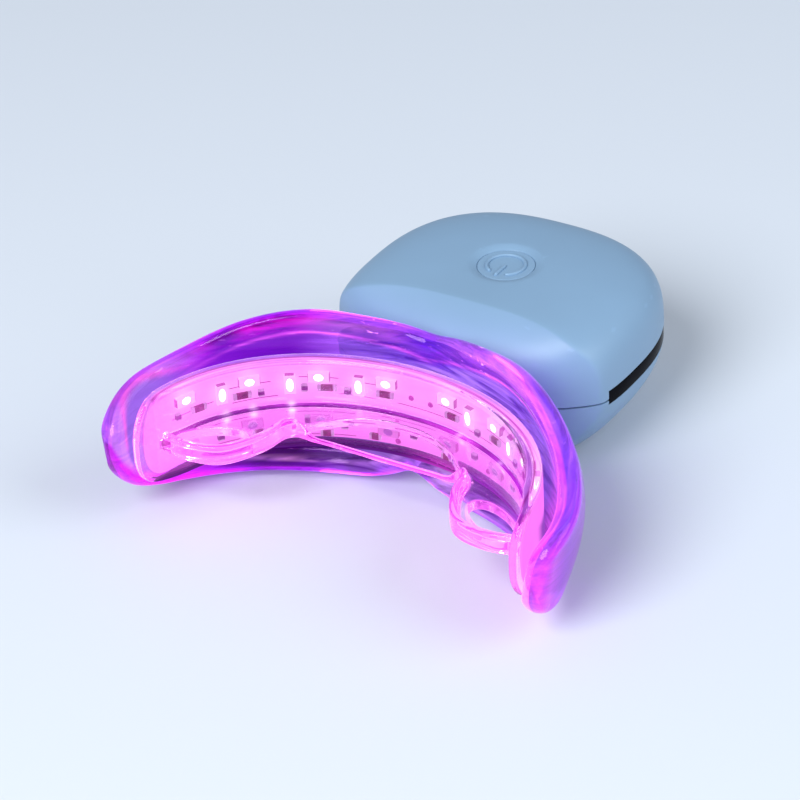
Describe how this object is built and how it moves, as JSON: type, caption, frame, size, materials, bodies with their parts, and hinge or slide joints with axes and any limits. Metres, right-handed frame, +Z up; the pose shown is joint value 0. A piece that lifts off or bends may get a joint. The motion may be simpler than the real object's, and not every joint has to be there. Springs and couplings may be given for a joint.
{
  "type": "light therapy oral care device",
  "caption": "Curved bite mouthpiece with a lit inner panel behind a clear window, joined by a short oval neck to a small rounded handle with a push button.",
  "frame": {"origin": "centre of the handle's flat base, on the plane of symmetry", "axes": "+Z up from the base, the mouthpiece lies towards -Y, and the plane X = 0 is the plane of symmetry"},
  "size_m": [0.071, 0.071, 0.0248],
  "materials": {
    "clear_elastomer": "clear, glossy, lit violet from inside",
    "tray_elastomer": "clear, glossy, lit pink from inside",
    "light_board": "matt white board flooded with pink light",
    "lamp": "lit lens",
    "handle_body": "satin pale blue",
    "black_gloss": "gloss black",
    "seal_rubber": "matt",
    "circuit_board": "solder resist",
    "chip_black": "matt moulded",
    "flex_ribbon": "amber film",
    "bright_steel": "bright",
    "cell_pouch": "satin foil",
    "foam_pad": "foam",
    "lead_red": "insulation",
    "lead_black": "insulation"
  },
  "bodies": {
    "housing": {"mouth_shield": "clear_elastomer", "neck_tube": "clear_elastomer", "bite_tray": "tray_elastomer", "led_board": "light_board", "top_cover": "handle_body", "bottom_cover": "handle_body", "side_trim": "black_gloss", "neck_seal": "seal_rubber", "cover_gasket": "seal_rubber", "main_board": "circuit_board", "controller_chip": "chip_black", "driver_coil": "chip_black", "usb_tongue": "chip_black", "flex_tail": "flex_ribbon", "switch_body": "bright_steel", "usb_shell": "bright_steel", "battery_cell": "cell_pouch", "battery_pad": "foam_pad", "battery_lead_positive": "lead_red", "battery_lead_negative": "lead_black", "tail_connector": "lead_black", "board_screw_1": "bright_steel", "board_screw_2": "bright_steel", "board_screw_3": "bright_steel", "board_screw_4": "bright_steel", "upper_led_1": "lamp", "upper_led_2": "lamp", "upper_led_3": "lamp", "upper_led_4": "lamp", "upper_led_5": "lamp", "upper_led_6": "lamp", "upper_led_7": "lamp", "upper_led_8": "lamp", "side_led_1": "lamp", "side_led_2": "lamp", "side_led_3": "lamp", "side_led_4": "lamp", "side_led_5": "lamp", "side_led_6": "lamp", "lower_led_1": "lamp", "lower_led_2": "lamp", "lower_led_3": "lamp", "lower_led_4": "lamp", "lower_led_5": "lamp", "lower_led_6": "lamp", "lower_led_7": "lamp", "lower_led_8": "lamp"},
    "button": {"power_button": "handle_body"},
    "plunger": {"switch_plunger": "chip_black"}
  },
  "joints": [
    {"name": "button_press", "type": "slide", "parent": "housing", "child": "button", "axis": [0, 0, -1], "range_m": [0, 0.0003], "stiffness_N_per_m": 800, "springref_m": -0.0004},
    {"name": "plunger_press", "type": "slide", "parent": "housing", "child": "plunger", "axis": [0, 0, -1], "range_m": [0, 0.0003]}
  ],
  "couplings": [
    {"joint": "plunger_press", "follows": "button_press", "ratio": 1}
  ]
}
